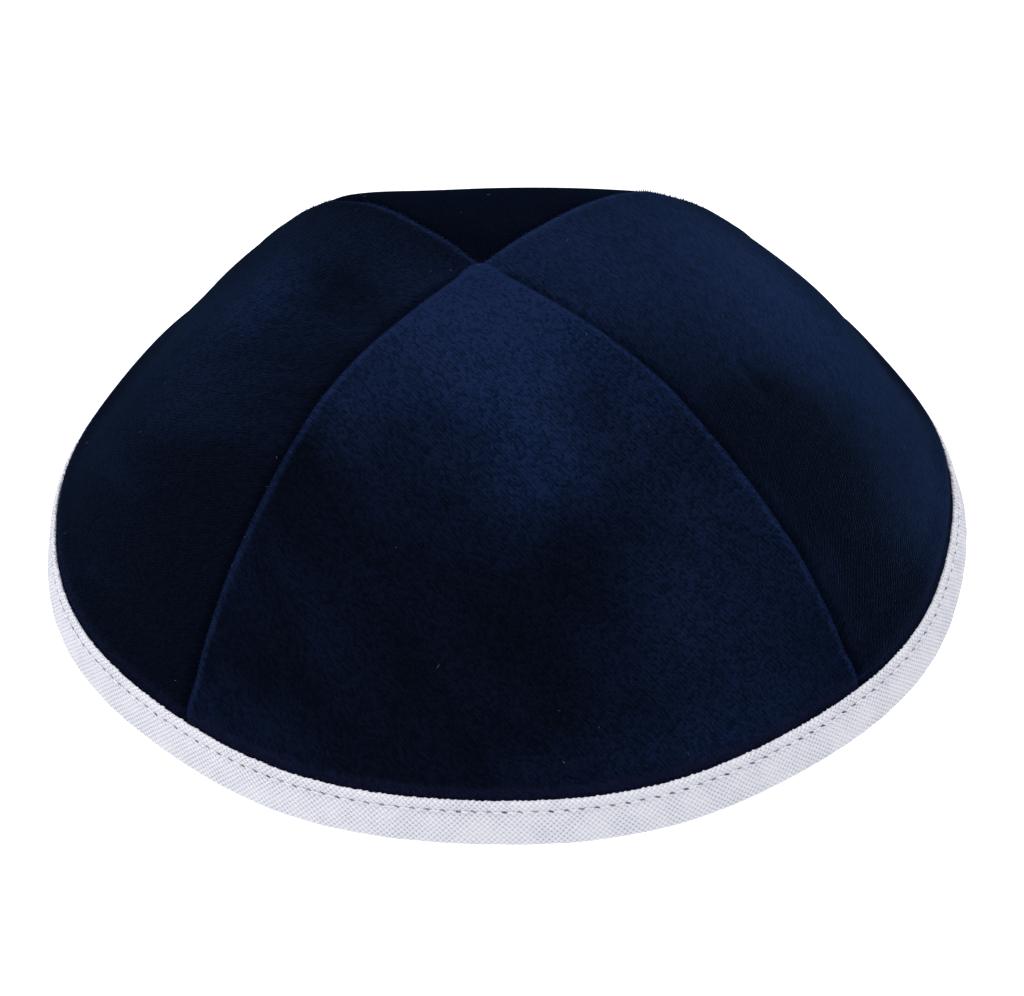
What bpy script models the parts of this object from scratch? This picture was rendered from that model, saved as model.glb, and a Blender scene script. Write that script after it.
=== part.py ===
"""A four-panel velvet kippah with a bound rim, resting on a flat surface.

Four velvet gores meet in seams that climb from the rim to the crown. A folded linen tape is wrapped
round their lower edge. Metres, +Z up; the origin is under the middle of the rim, on the surface that
the rim rests on, and the front panel faces -Y.
"""

import math
from collections import namedtuple

import bmesh
import bpy
from mathutils import Vector

# Driving sizes, in metres and degrees.
RIM_DIAMETER = 0.1720
CROWN_HEIGHT = 0.0576
CROWN_LEAN = 0.0036  # how far the top of the crown stands towards -X
VELVET_WALL = 0.0015
BINDING_HEIGHT = 0.0094
BINDING_WALL = 0.0010
BINDING_FOLD_RADIUS = 0.0012  # the tape's rounded fold under the rim
INNER_LEG_DROP = 0.0010  # how much lower the tape ends inside than outside
BINDING_SLOPE_DEG = 15.0  # how far the bound rim tips inwards from upright
FIT_GAP = 0.0003  # between any two pieces
SEAM_ROLL_DEPTH = 0.0007  # how far a panel's edge turns down into its seam
SEAM_ROLL_WIDTH = 0.0020
MOST_ROLLED_SHARE = 0.3  # the most of a narrow row that one rolled edge takes

# The rim isn't a true circle: it swells and draws in by this much, this many times round.
RIM_WAVE_DEPTH = 0.00035
RIM_WAVE_COUNT = 9
RIM_WAVE_AZIMUTH_DEG = 246.0  # where one swell has its crest

# Just above the binding the velvet swells out by this much, over this height.
PUFF_DEPTH = 0.0006
PUFF_HEIGHT = 0.0060

# Behind its left side the cap is drawn in by this much, fading out over this spread to either side.
DRAW_IN_DEPTH = 0.0020
DRAW_IN_AZIMUTH_DEG = 158.0
DRAW_IN_SPREAD_DEG = 15.0

# How finely the pieces are faceted.
PANEL_ROWS = 20
SLOT_ROWS = 2
PANEL_COLUMNS = 14
BINDING_STATIONS = 96
EDGE_STEPS = 3
FOLD_STEPS = 3
ROLL_COLUMN = 0.4  # where the extra column of a rolled edge stands, as a share of the roll
SHARP_ANGLE_DEG = 50.0
MERGE_DISTANCE = 1e-6

# Level sections of the crown. Height is a share of the rise from the binding to the crown's top.
# Reach is a seam's distance from the middle, as a share of what it is at the binding. Belly is how far
# a panel bows out between its seams, as a share of a full round.
Section = namedtuple("Section", "height reach belly")
SECTIONS = (
    Section(0.045, 0.983, 1.02),
    Section(0.120, 0.966, 0.98),
    Section(0.250, 0.927, 0.91),
    Section(0.425, 0.858, 0.81),
    Section(0.580, 0.770, 0.70),
    Section(0.715, 0.673, 0.58),
    Section(0.815, 0.587, 0.50),
    Section(0.890, 0.505, 0.44),
    Section(0.950, 0.395, 0.39),
    Section(0.985, 0.272, 0.35),
    Section(1.000, 0.115, 0.32),
)

# Azimuth is measured from +X towards +Y. Slump is how far a seam sinks inwards half way up, as a share
# of the rim's radius.
Seam = namedtuple("Seam", "azimuth_deg slump")
SEAMS = {
    "front_left": Seam(229.3, 0.022),
    "front_right": Seam(316.2, 0.000),
    "back_right": Seam(405.8, 0.022),
    "back_left": Seam(491.0, 0.067),
}

# Each panel lies between two seams, taken anticlockwise from above. Slack scales how much its belly
# falls short of a full round.
Panel = namedtuple("Panel", "name first_seam last_seam slack")
PANELS = (
    Panel("panel_front", "front_left", "front_right", 1.00),
    Panel("panel_right", "front_right", "back_right", 0.80),
    Panel("panel_back", "back_right", "back_left", 1.40),
    Panel("panel_left", "back_left", "front_left", 0.30),
)

VELVET_NAVY = (0.006, 0.012, 0.050, 1.0)
LINEN_WHITE = (0.800, 0.800, 0.850, 1.0)

# A row of a panel: the height of the section, the seam's reach there and the belly.
Row = namedtuple("Row", "height reach belly")

slope = math.radians(BINDING_SLOPE_DEG)
up_the_wall = Vector((-math.sin(slope), math.cos(slope)))
out_of_wall = Vector((math.cos(slope), math.sin(slope)))


def clear_scene():
    for obj in list(bpy.data.objects):
        bpy.data.objects.remove(obj)


def along(azimuth):
    """The level unit vector at this azimuth, in radians."""
    return Vector((math.cos(azimuth), math.sin(azimuth), 0))


def middle_at(height):
    """The middle of the crown at this height, which drifts sideways with the lean."""
    return Vector((-CROWN_LEAN * height / CROWN_HEIGHT, 0, height))


def rise_share(height):
    """How far up the velvet this height is: 0 at the binding and below it, 1 at the crown's top."""
    return min(1.0, max(0.0, (height - BINDING_HEIGHT) / (CROWN_HEIGHT - BINDING_HEIGHT)))


def rim_swell(azimuth, height):
    """The rim's wave at this azimuth. It fades out in the velvet above the binding."""
    crest = math.radians(RIM_WAVE_AZIMUTH_DEG)
    fade = min(1.0, max(0.0, 2.0 - height / BINDING_HEIGHT))
    return RIM_WAVE_DEPTH * fade * math.cos(RIM_WAVE_COUNT * (azimuth - crest))


def draw_in(azimuth, height):
    """How far the cap is drawn in at this azimuth. It fades out towards the crown's top."""
    away = math.degrees(azimuth) - DRAW_IN_AZIMUTH_DEG
    away = (away + 180) % 360 - 180
    return DRAW_IN_DEPTH * math.exp(-((away / DRAW_IN_SPREAD_DEG) ** 2)) * (1 - rise_share(height) ** 4)


def puff(height):
    """How far the velvet swells out over the tape's edge at this height."""
    share = min(1.0, max(0.0, (height - BINDING_HEIGHT) / PUFF_HEIGHT))
    return PUFF_DEPTH * math.sin(math.pi * share) ** 2


def eased_round(point):
    """The point moved out or in by the rim's wave, the puff and where the cap is drawn in."""
    middle = middle_at(point.z)
    azimuth = math.atan2(point.y - middle.y, point.x - middle.x)
    outward = rim_swell(azimuth, point.z) + puff(point.z) - draw_in(azimuth, point.z)
    return point + along(azimuth) * outward


def face_of_binding():
    """A point on the tape's outer face, as (reach, height): where the fold under the rim meets it."""
    fold_middle = Vector((RIM_DIAMETER / 2 - BINDING_FOLD_RADIUS, BINDING_FOLD_RADIUS))
    return fold_middle + out_of_wall * BINDING_FOLD_RADIUS


def wall_point(outward, height):
    """The (reach, height) point on the line at this distance outside the velvet's outer face."""
    start = face_of_binding() - out_of_wall * (BINDING_WALL + FIT_GAP - outward)
    return start + up_the_wall * (height - start.y) / up_the_wall.y


def foot_height():
    """The height of the velvet's lower outer corner, which keeps the tape's thickness under it."""
    sunk_corner = (VELVET_WALL + FIT_GAP) * math.sin(slope) + FIT_GAP * math.cos(slope)
    return BINDING_WALL + sunk_corner


def eased(points, position):
    """A smooth curve through the points, read at a position counted in points."""
    last = len(points) - 1
    index = min(int(position), last - 1)
    share = position - index
    before, start, end, after = (points[min(max(index + step, 0), last)] for step in (-1, 0, 1, 2))
    first_pull = (end - before) / 2
    last_pull = (after - start) / 2
    turn = end - start
    bend = 3 * turn - 2 * first_pull - last_pull
    twist = first_pull + last_pull - 2 * turn
    return start + first_pull * share + bend * share**2 + twist * share**3


def panel_rows():
    """The rows of every panel, from the foot inside the binding to just below the crown's top."""
    foot = wall_point(0, foot_height())
    neck = wall_point(0, BINDING_HEIGHT)
    rows = []
    for step in range(SLOT_ROWS):
        reach, height = foot.lerp(neck, step / SLOT_ROWS)
        rows.append(Row(height, reach, 1.0))
    rise = CROWN_HEIGHT - neck.y
    guides = [Vector((neck.y, neck.x, 1.0))]
    for section in SECTIONS:
        guides.append(Vector((neck.y + section.height * rise, section.reach * neck.x, section.belly)))
    guides.append(Vector((CROWN_HEIGHT, 0.0, SECTIONS[-1].belly)))
    for step in range(PANEL_ROWS):
        rows.append(Row(*eased(guides, step * (len(guides) - 1) / PANEL_ROWS)))
    return rows


def seam_profile(seam, rows):
    """The seam's points, one on each row, and the crown's top."""
    direction = along(math.radians(seam.azimuth_deg))
    points = []
    for row in rows:
        sunk = seam.slump * RIM_DIAMETER / 2 * math.sin(math.pi * rise_share(row.height))
        points.append(middle_at(row.height) + direction * (row.reach - sunk))
    points.append(middle_at(CROWN_HEIGHT))
    return points


def belly_profile(first, last, rows, span, slack):
    """The points half way across the panel, bowed out from the straight line between its seams."""
    points = []
    for start, end, row in zip(first, last, rows):
        across = end - start
        outward = Vector((across.y, -across.x, 0)).normalized()
        full_round = across.length / 2 * math.tan(span / 4)
        swell = 1 - (1 - row.belly) * slack
        points.append((start + end) / 2 + outward * full_round * swell)
    points.append(middle_at(CROWN_HEIGHT))
    return points


def inset(profile, direction, depth):
    """The profile moved into the wall by depth, in the upright plane of this direction."""
    side = direction.cross(Vector((0, 0, 1)))
    moved = []
    for index, point in enumerate(profile):
        before = profile[max(index - 1, 0)]
        after = profile[min(index + 1, len(profile) - 1)]
        climb = after - before
        climb -= side * climb.dot(side)
        moved.append(point + side.cross(climb).normalized() * depth)
    moved[-1] = profile[-1] - Vector((0, 0, depth))
    return moved


def arc_point(start, middle, end, share):
    """A point on the level arc through three points; between them the height eases."""
    chord = end - start
    chord.z = 0
    half = chord.length / 2
    along_chord = chord.normalized()
    outward = Vector((along_chord.y, -along_chord.x, 0))
    rise = (middle - (start + end) / 2).dot(outward)
    radius = (half**2 + rise**2) / (2 * rise)
    sweep = math.asin(min(1.0, half / radius)) if rise <= half else math.pi - math.asin(half / radius)
    turn = sweep * (2 * share - 1)
    point = (start + end) / 2
    point += along_chord * radius * math.sin(turn)
    point += outward * (radius * math.cos(turn) - (radius - rise))
    ends = start.z + (end.z - start.z) * share
    point.z = ends + (middle.z - (start.z + end.z) / 2) * 4 * share * (1 - share)
    return point


def roll_share(width):
    """The share of a row of this width that one rolled edge takes."""
    return min(SEAM_ROLL_WIDTH / width, MOST_ROLLED_SHARE)


def column_shares(width):
    """Where the columns stand across a row of this width: close together where the edges roll in."""
    roll = roll_share(width)
    inner = [roll + (1 - 2 * roll) * step / PANEL_COLUMNS for step in range(PANEL_COLUMNS + 1)]
    return [0.0, roll * ROLL_COLUMN, *inner, 1 - roll * ROLL_COLUMN, 1.0]


def rolled(share, width):
    """How far the surface has turned down into the seam at this share of a row."""
    nearness = 1 - min(share, 1 - share) / roll_share(width)
    return SEAM_ROLL_DEPTH * max(0.0, nearness) ** 2


def panel_rings(panel):
    """One closed ring of points for each row: the outer face one way and the inner face back."""
    first, last = SEAMS[panel.first_seam], SEAMS[panel.last_seam]
    first_azimuth, last_azimuth = (math.radians(seam.azimuth_deg) for seam in (first, last))
    span = (last_azimuth - first_azimuth) % math.tau
    middle_azimuth = first_azimuth + span / 2
    rows = panel_rows()
    first_outer, last_outer = seam_profile(first, rows), seam_profile(last, rows)
    belly_outer = belly_profile(first_outer, last_outer, rows, span, panel.slack)
    outer = (first_outer, belly_outer, last_outer)
    azimuths = (first_azimuth, middle_azimuth, last_azimuth)
    inner = [inset(profile, along(azimuth), VELVET_WALL) for profile, azimuth in zip(outer, azimuths)]
    into_first = along(first_azimuth + math.pi / 2) * FIT_GAP / 2
    into_last = along(last_azimuth - math.pi / 2) * FIT_GAP / 2
    rings = []
    for index in range(len(rows)):
        start, middle, end = (profile[index] for profile in outer)
        start_in, middle_in, end_in = (profile[index] for profile in inner)
        width = (end - start).length
        into_wall = (middle_in - middle).normalized()
        outside = []
        inside = []
        for share in column_shares(width):
            point = arc_point(start + into_first, middle, end + into_last, share)
            edge_wall = (start_in - start).lerp(end_in - end, share).normalized()
            down = edge_wall.lerp(into_wall, 4 * share * (1 - share))
            outside.append(eased_round(point + down * rolled(share, width)))
        for step in range(len(outside)):
            share = step / (len(outside) - 1)
            inside.append(eased_round(arc_point(start_in + into_first, middle_in, end_in + into_last, share)))
        rings.append(outside + inside[::-1])
    half_across = len(rings[0]) // 2
    tip = middle_at(CROWN_HEIGHT) + along(middle_azimuth) * FIT_GAP / 2 / math.sin(span / 2)
    tip_outside = tip - Vector((0, 0, SEAM_ROLL_DEPTH))
    tip_inside = tip - Vector((0, 0, VELVET_WALL))
    rings.append([tip_outside] * half_across + [tip_inside] * half_across)
    return rings


def section_arc(middle, start_deg, end_deg, radius, steps):
    """Points on an arc of the section, as (reach, height)."""
    points = []
    for step in range(steps + 1):
        angle = math.radians(start_deg + (end_deg - start_deg) * step / steps)
        points.append(middle + Vector((math.cos(angle), math.sin(angle))) * radius)
    return points


def binding_section():
    """The folded tape cut across, as (reach, height): up the outside, down into the slot and back."""
    half_wall = BINDING_WALL / 2
    leg_middle = FIT_GAP + half_wall
    top = BINDING_HEIGHT - half_wall
    outer_top = wall_point(leg_middle, top)
    inner_top = wall_point(-VELVET_WALL - leg_middle, top - INNER_LEG_DROP)
    outer_slot = wall_point(FIT_GAP, foot_height()) - up_the_wall * FIT_GAP
    inner_slot = outer_slot - out_of_wall * (VELVET_WALL + 2 * FIT_GAP)
    outer_fold = Vector((RIM_DIAMETER / 2 - BINDING_FOLD_RADIUS, BINDING_FOLD_RADIUS))
    inner_face = wall_point(-VELVET_WALL - FIT_GAP - BINDING_WALL + BINDING_FOLD_RADIUS, BINDING_FOLD_RADIUS)
    lean = BINDING_SLOPE_DEG
    return (
        section_arc(outer_fold, -90, lean, BINDING_FOLD_RADIUS, FOLD_STEPS)
        + section_arc(outer_top, lean, lean + 180, half_wall, EDGE_STEPS)
        + [outer_slot, inner_slot]
        + section_arc(inner_top, lean, lean + 180, half_wall, EDGE_STEPS)
        + section_arc(inner_face, lean + 180, 270, BINDING_FOLD_RADIUS, FOLD_STEPS)
    )


def binding_rings():
    """The tape's section, set round the rim."""
    section = binding_section()
    rings = []
    for station in range(BINDING_STATIONS):
        direction = along(math.tau * station / BINDING_STATIONS)
        rings.append([eased_round(middle_at(height) + direction * reach) for reach, height in section])
    return rings


def loft(bm, rings, closed):
    """Faces between each ring of points and the next, and back to the first where it is closed."""
    verts = [[bm.verts.new(point) for point in ring] for ring in rings]
    pairs = list(zip(verts, verts[1:]))
    if closed:
        pairs.append((verts[-1], verts[0]))
    for ring, following in pairs:
        for index in range(len(ring)):
            after = (index + 1) % len(ring)
            bm.faces.new((ring[index], ring[after], following[after], following[index]))
    return verts


def cap_strip(bm, ring):
    """Closes a panel's end with a strip of faces from its outer face to its inner face."""
    last = len(ring) - 1
    for index in range(len(ring) // 2 - 1):
        bm.faces.new((ring[index + 1], ring[index], ring[last - index], ring[last - index - 1]))


def finish(name, bm, material):
    """Puts the mesh into the scene as an object, shaded smooth away from its sharp edges."""
    bmesh.ops.remove_doubles(bm, verts=bm.verts, dist=MERGE_DISTANCE)
    bmesh.ops.recalc_face_normals(bm, faces=bm.faces)
    mesh = bpy.data.meshes.new(name)
    bm.to_mesh(mesh)
    bm.free()
    mesh.shade_smooth()
    mesh.set_sharp_from_angle(angle=math.radians(SHARP_ANGLE_DEG))
    mesh.materials.append(material)
    bpy.context.scene.collection.objects.link(bpy.data.objects.new(name, mesh))


def make_panel(panel, material):
    bm = bmesh.new()
    rings = loft(bm, panel_rings(panel), closed=False)
    cap_strip(bm, rings[0])
    finish(panel.name, bm, material)


def make_binding(material):
    bm = bmesh.new()
    loft(bm, binding_rings(), closed=True)
    finish("rim_binding", bm, material)


def make_material(name, colour, roughness, sheen):
    material = bpy.data.materials.new(name)
    material.use_nodes = True
    shader = material.node_tree.nodes["Principled BSDF"]
    shader.inputs["Base Color"].default_value = colour
    shader.inputs["Roughness"].default_value = roughness
    shader.inputs["Metallic"].default_value = 0.0
    shader.inputs["Sheen Weight"].default_value = sheen
    return material


def main():
    clear_scene()
    velvet = make_material("navy_velvet", VELVET_NAVY, 0.9, 0.6)
    linen = make_material("white_linen", LINEN_WHITE, 0.85, 0.1)
    for panel in PANELS:
        make_panel(panel, velvet)
    make_binding(linen)


main()
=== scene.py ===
import math
import random

import bmesh
import bpy
from mathutils import Matrix, Vector, noise


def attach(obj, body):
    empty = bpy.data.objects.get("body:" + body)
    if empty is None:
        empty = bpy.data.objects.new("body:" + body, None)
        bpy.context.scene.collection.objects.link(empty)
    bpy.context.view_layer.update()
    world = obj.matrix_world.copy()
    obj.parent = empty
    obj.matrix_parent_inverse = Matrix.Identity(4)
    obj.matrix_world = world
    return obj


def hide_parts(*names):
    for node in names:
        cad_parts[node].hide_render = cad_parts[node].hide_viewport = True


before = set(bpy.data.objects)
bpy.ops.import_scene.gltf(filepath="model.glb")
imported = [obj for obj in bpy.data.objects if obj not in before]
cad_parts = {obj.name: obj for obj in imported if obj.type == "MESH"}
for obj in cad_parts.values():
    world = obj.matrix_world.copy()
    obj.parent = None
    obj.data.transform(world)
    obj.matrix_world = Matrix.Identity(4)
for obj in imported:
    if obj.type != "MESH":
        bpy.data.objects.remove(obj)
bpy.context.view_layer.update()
print("cap: packed model loaded")

mm = 0.001
dice = random.Random(29)

# The sizes of the sewn cap, the same as its solids have, in metres and degrees.
cap = {
    "rimDiameter": 172.0 * mm,
    "crownHeight": 57.6 * mm,
    "crownLean": 3.6 * mm,       # the top of the crown stands this far towards -X
    "velvetWall": 1.5 * mm,
    "tapeHeight": 9.4 * mm,
    "tapeWall": 1.0 * mm,
    "foldRadius": 1.2 * mm,
    "innerLegDrop": 1.0 * mm,
    "tapeSlope": 15.0,           # how far the bound rim tips inwards
    "clearance": 0.3 * mm,
    "waveDepth": 0.35 * mm,      # the rim's small waves
    "waveCount": 9,
    "waveAzimuth": 246.0,
    "puffFoot": 8.3 * mm,        # the velvet swells out just above the tape
    "puffDepth": 0.8 * mm,
    "puffHeight": 6.5 * mm,
}

# The stretch behind the left side that is drawn in, down to the tape and a little more above it.
drawnIn = {"azimuth": 160.0, "spread": 17.0, "depth": 2.0 * mm, "moreAbove": 2.1 * mm}

# On both sides of the back the tape is tucked in a little further, so that the velvet hangs over it.
tuckedIn = {"azimuths": (22.0, 158.0), "spread": 20.0, "depth": 1.3 * mm, "fadeHeight": 4.0 * mm}

# Level sections: height as a share of the rise, a seam's reach as a share of what it is at the tape,
# and how far a panel bows out as a share of a full round.
crownSections = (
    (0.045, 0.983, 1.02),
    (0.120, 0.966, 0.98),
    (0.250, 0.927, 0.91),
    (0.425, 0.858, 0.81),
    (0.580, 0.770, 0.70),
    (0.715, 0.673, 0.58),
    (0.815, 0.587, 0.50),
    (0.890, 0.505, 0.44),
    (0.950, 0.395, 0.39),
    (0.985, 0.272, 0.35),
    (1.000, 0.115, 0.32),
)

# Where each seam climbs, how far it sinks inwards half way up as a share of the rim's radius, and how many
# degrees it sways aside on its way.
seams = {
    "frontLeft": {"azimuth": 229.3, "slump": 0.022, "sway": 0.0},
    "frontRight": {"azimuth": 316.2, "slump": 0.0, "sway": 0.0},
    "backRight": {"azimuth": 405.8, "slump": 0.022, "sway": 0.0},
    "backLeft": {"azimuth": 491.0, "slump": 0.067, "sway": 3.0},
}


def levelWay(azimuth):
    turn = math.radians(azimuth)
    return Vector((math.cos(turn), math.sin(turn), 0))


def middleAt(height):
    return Vector((-cap["crownLean"] * height / cap["crownHeight"], 0, height))


def clamped(value):
    return min(1.0, max(0.0, value))


def smoothStep(value):
    value = clamped(value)
    return value * value * (3 - 2 * value)


def bell(away, spread):
    return math.exp(-(away / spread) ** 2)


def awayFrom(azimuth, place):
    # degrees, the short way round
    return (azimuth - place + 180) % 360 - 180


def riseShare(height):
    return clamped((height - cap["tapeHeight"]) / (cap["crownHeight"] - cap["tapeHeight"]))


def softened(point):
    # the rim's waves, the puff above the tape, the drawn-in stretch and the tucked-in tape
    middle = middleAt(point.z)
    azimuth = math.degrees(math.atan2(point.y - middle.y, point.x - middle.x))
    fade = clamped(2.0 - point.z / cap["tapeHeight"])
    wave = cap["waveDepth"] * fade * math.cos(math.radians(cap["waveCount"] * (azimuth - cap["waveAzimuth"])))
    climb = clamped((point.z - cap["puffFoot"]) / cap["puffHeight"])
    puff = cap["puffDepth"] * math.sin(math.pi * climb) ** 2
    risen = riseShare(point.z)
    depth = drawnIn["depth"] + drawnIn["moreAbove"] * smoothStep(risen * 4)
    drawn = depth * bell(awayFrom(azimuth, drawnIn["azimuth"]), drawnIn["spread"]) * (1 - risen**4)
    low = clamped(1 - (point.z - cap["puffFoot"]) / tuckedIn["fadeHeight"])
    near = sum(bell(awayFrom(azimuth, place), tuckedIn["spread"]) for place in tuckedIn["azimuths"])
    return point + levelWay(azimuth) * (wave + puff - drawn - tuckedIn["depth"] * low * near)


tapeSlope = math.radians(cap["tapeSlope"])
upTheWall = Vector((-math.sin(tapeSlope), math.cos(tapeSlope)))
outOfWall = Vector((math.cos(tapeSlope), math.sin(tapeSlope)))


def wallPoint(outward, height):
    # (reach, height) on the line this far outside the velvet's outer face, within the bound rim
    foldMiddle = Vector((cap["rimDiameter"] / 2 - cap["foldRadius"], cap["foldRadius"]))
    face = foldMiddle + outOfWall * cap["foldRadius"]
    start = face - outOfWall * (cap["tapeWall"] + cap["clearance"] - outward)
    return start + upTheWall * (height - start.y) / upTheWall.y


def footHeight():
    sunkCorner = (cap["velvetWall"] + cap["clearance"]) * math.sin(tapeSlope)
    return cap["tapeWall"] + sunkCorner + cap["clearance"] * math.cos(tapeSlope)


def eased(points, position):
    # a smooth curve through the points
    last = len(points) - 1
    index = min(int(position), last - 1)
    share = position - index
    before, start, end, after = (points[min(max(index + step, 0), last)] for step in (-1, 0, 1, 2))
    firstPull, lastPull, turn = (end - before) / 2, (after - start) / 2, end - start
    bend = 3 * turn - 2 * firstPull - lastPull
    twist = firstPull + lastPull - 2 * turn
    return start + firstPull * share + bend * share**2 + twist * share**3


def newPiece(name, bm, materials):
    mesh = bpy.data.meshes.new(name)
    bm.to_mesh(mesh)
    bm.free()
    mesh.shade_smooth()
    for material in materials:
        mesh.materials.append(material)
    piece = bpy.data.objects.new(name, mesh)
    bpy.context.scene.collection.objects.link(piece)
    return piece


def nodeIn(tree, kind, **settings):
    node = tree.nodes.new(kind)
    for key, value in settings.items():
        setattr(node, key, value)
    return node


def feed(tree, socket, value):
    # another node's output is linked to the socket, anything else is set on it
    if isinstance(value, bpy.types.NodeSocket):
        tree.links.new(value, socket)
    else:
        socket.default_value = value


def worked(tree, operation, *values, clamp=False):
    node = nodeIn(tree, "ShaderNodeMath", operation=operation, use_clamp=clamp)
    for socket, value in zip(node.inputs, values):
        feed(tree, socket, value)
    return node.outputs[0]


def summed(tree, *shares):
    # pairs of a value and how much of it counts
    total = 0.0
    for value, share in shares:
        total = worked(tree, "MULTIPLY_ADD", value, share, total)
    return total


def moved(tree, operation, *values):
    node = nodeIn(tree, "ShaderNodeVectorMath", operation=operation)
    for socket, value in zip(node.inputs, values):
        feed(tree, socket, value)
    return node.outputs["Value" if operation == "LENGTH" else "Vector"]


def turnedFlat(tree, place, turn):
    node = nodeIn(tree, "ShaderNodeVectorRotate", rotation_type="Z_AXIS")
    feed(tree, node.inputs["Vector"], place)
    feed(tree, node.inputs["Angle"], turn)
    return node.outputs["Vector"]


def takenApart(tree, place):
    node = nodeIn(tree, "ShaderNodeSeparateXYZ")
    tree.links.new(place, node.inputs[0])
    return node.outputs["X"], node.outputs["Y"]


def noiseIn(tree, place, scale, detail=2, dimensions="2D"):
    node = nodeIn(tree, "ShaderNodeTexNoise", noise_dimensions=dimensions)
    tree.links.new(place, node.inputs["Vector"])
    node.inputs["Scale"].default_value = scale
    node.inputs["Detail"].default_value = detail
    return node


def ranged(tree, value, low, high, toLow=0.0, toHigh=1.0, smooth=True):
    node = nodeIn(tree, "ShaderNodeMapRange", interpolation_type="SMOOTHSTEP" if smooth else "LINEAR")
    tree.links.new(value, node.inputs["Value"])
    for socket, setting in zip(("From Min", "From Max", "To Min", "To Max"), (low, high, toLow, toHigh)):
        node.inputs[socket].default_value = setting
    return node.outputs["Result"]


def mixedColour(tree, share, first, second):
    # the mix node's colours are its inputs 6 and 7 and its output 2
    node = nodeIn(tree, "ShaderNodeMix", data_type="RGBA")
    for socket, value in zip(("Factor", 6, 7), (share, first, second)):
        feed(tree, node.inputs[socket], value)
    return node.outputs[2]


def bumped(tree, shader, height, strength, distance):
    bump = nodeIn(tree, "ShaderNodeBump")
    bump.inputs["Strength"].default_value = strength
    bump.inputs["Distance"].default_value = distance
    tree.links.new(height, bump.inputs["Height"])
    tree.links.new(bump.outputs["Normal"], shader.inputs["Normal"])


def dressed(tree, shader, values):
    for name, value in values.items():
        feed(tree, shader.inputs[name], value)


def newGroup(name, inputs, outputs):
    group = bpy.data.node_groups.new(name, "ShaderNodeTree")
    for socketName, kind, value in inputs:
        socket = group.interface.new_socket(name=socketName, in_out="INPUT", socket_type=kind)
        if value is not None:
            socket.default_value = value
    for socketName in outputs:
        group.interface.new_socket(name=socketName, in_out="OUTPUT", socket_type="NodeSocketFloat")
    return group, group.nodes.new("NodeGroupInput"), group.nodes.new("NodeGroupOutput")


def placed(tree, group, **values):
    node = nodeIn(tree, "ShaderNodeGroup", node_tree=group)
    for key, value in values.items():
        feed(tree, node.inputs[key], value)
    return node


# Plain weave: two sets of threads that pass over and under each other, from a flat position in metres.
weaveLook = {
    "wanderScale": 320,               # the threads wander a little
    "wander": 0.22 * mm,
    "crossing": 0.35,                 # how soon one thread dives under the other
    "roundness": 0.6,                 # of a thread's top
    "hole": (0.24, 0.62),             # where a hole between the threads starts and ends
    "slub": (0.5, 0.78),              # where the noise makes a slub, and a full one
    "slubStretch": ((1700, 130, 1), (130, 1700, 1)),      # slubs run along the threads of either set
}


def makeWeave():
    group, fed, out = newGroup("plainWeave", (
        ("Flat", "NodeSocketVector", None),
        ("Pitch", "NodeSocketFloat", 0.6 * mm),
        ("Turn", "NodeSocketFloat", math.pi / 4),
        ("Slub", "NodeSocketFloat", 0.2),
    ), ("Height", "Hole", "Slub"))
    turned = turnedFlat(group, fed.outputs["Flat"], fed.outputs["Turn"])
    wander = noiseIn(group, fed.outputs["Flat"], weaveLook["wanderScale"], 1)
    wandering = (weaveLook["wander"], weaveLook["wander"], 0)
    threads = []
    for along in takenApart(group, moved(group, "MULTIPLY_ADD", wander.outputs["Color"], wandering, turned)):
        count = worked(group, "DIVIDE", along, fed.outputs["Pitch"])
        threads.append(worked(group, "SINE", worked(group, "MULTIPLY", count, math.pi)))
    tops = [worked(group, "ABSOLUTE", thread) for thread in threads]
    crossing = weaveLook["crossing"]
    onTop = nodeIn(group, "ShaderNodeMix", data_type="FLOAT")
    over = ranged(group, worked(group, "MULTIPLY", *threads), -crossing, crossing)
    for socket, value in zip(("Factor", 2, 3), (over, *tops)):
        feed(group, onTop.inputs[socket], value)
    feed(group, out.inputs["Height"], worked(group, "POWER", onTop.outputs[0], weaveLook["roundness"]))
    gap = worked(group, "MAXIMUM", *tops)
    feed(group, out.inputs["Hole"], ranged(group, gap, *weaveLook["hole"], 1.0, 0.0))
    streaks = [noiseIn(group, moved(group, "MULTIPLY", turned, stretch), 1.0).outputs[0]
               for stretch in weaveLook["slubStretch"]]
    slub = ranged(group, worked(group, "MAXIMUM", *streaks), *weaveLook["slub"])
    feed(group, out.inputs["Slub"], worked(group, "MULTIPLY", slub, fed.outputs["Slub"]))
    return group


# Cut pile: slanting rows of fine tufts, from a flat position in metres.
pileLook = {
    "wanderScale": 140,               # the rows wander
    "wander": 1.1 * mm,
    "tufts": (1500, 2500, 1),         # tufts in a metre, along a row and across the rows
    "fibres": 3400,
    "strokes": (30, 62, 1),           # the nap is stroked this way and that, mostly along the rows
    "strokeDetail": 4,
    "strokeRoughness": 0.55,
    "height": {"row": 0.14, "tuft": 0.6, "fibre": 0.5},
    "tone": {"row": 0.10, "tuft": 0.55, "fibre": 0.5},
}


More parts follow.
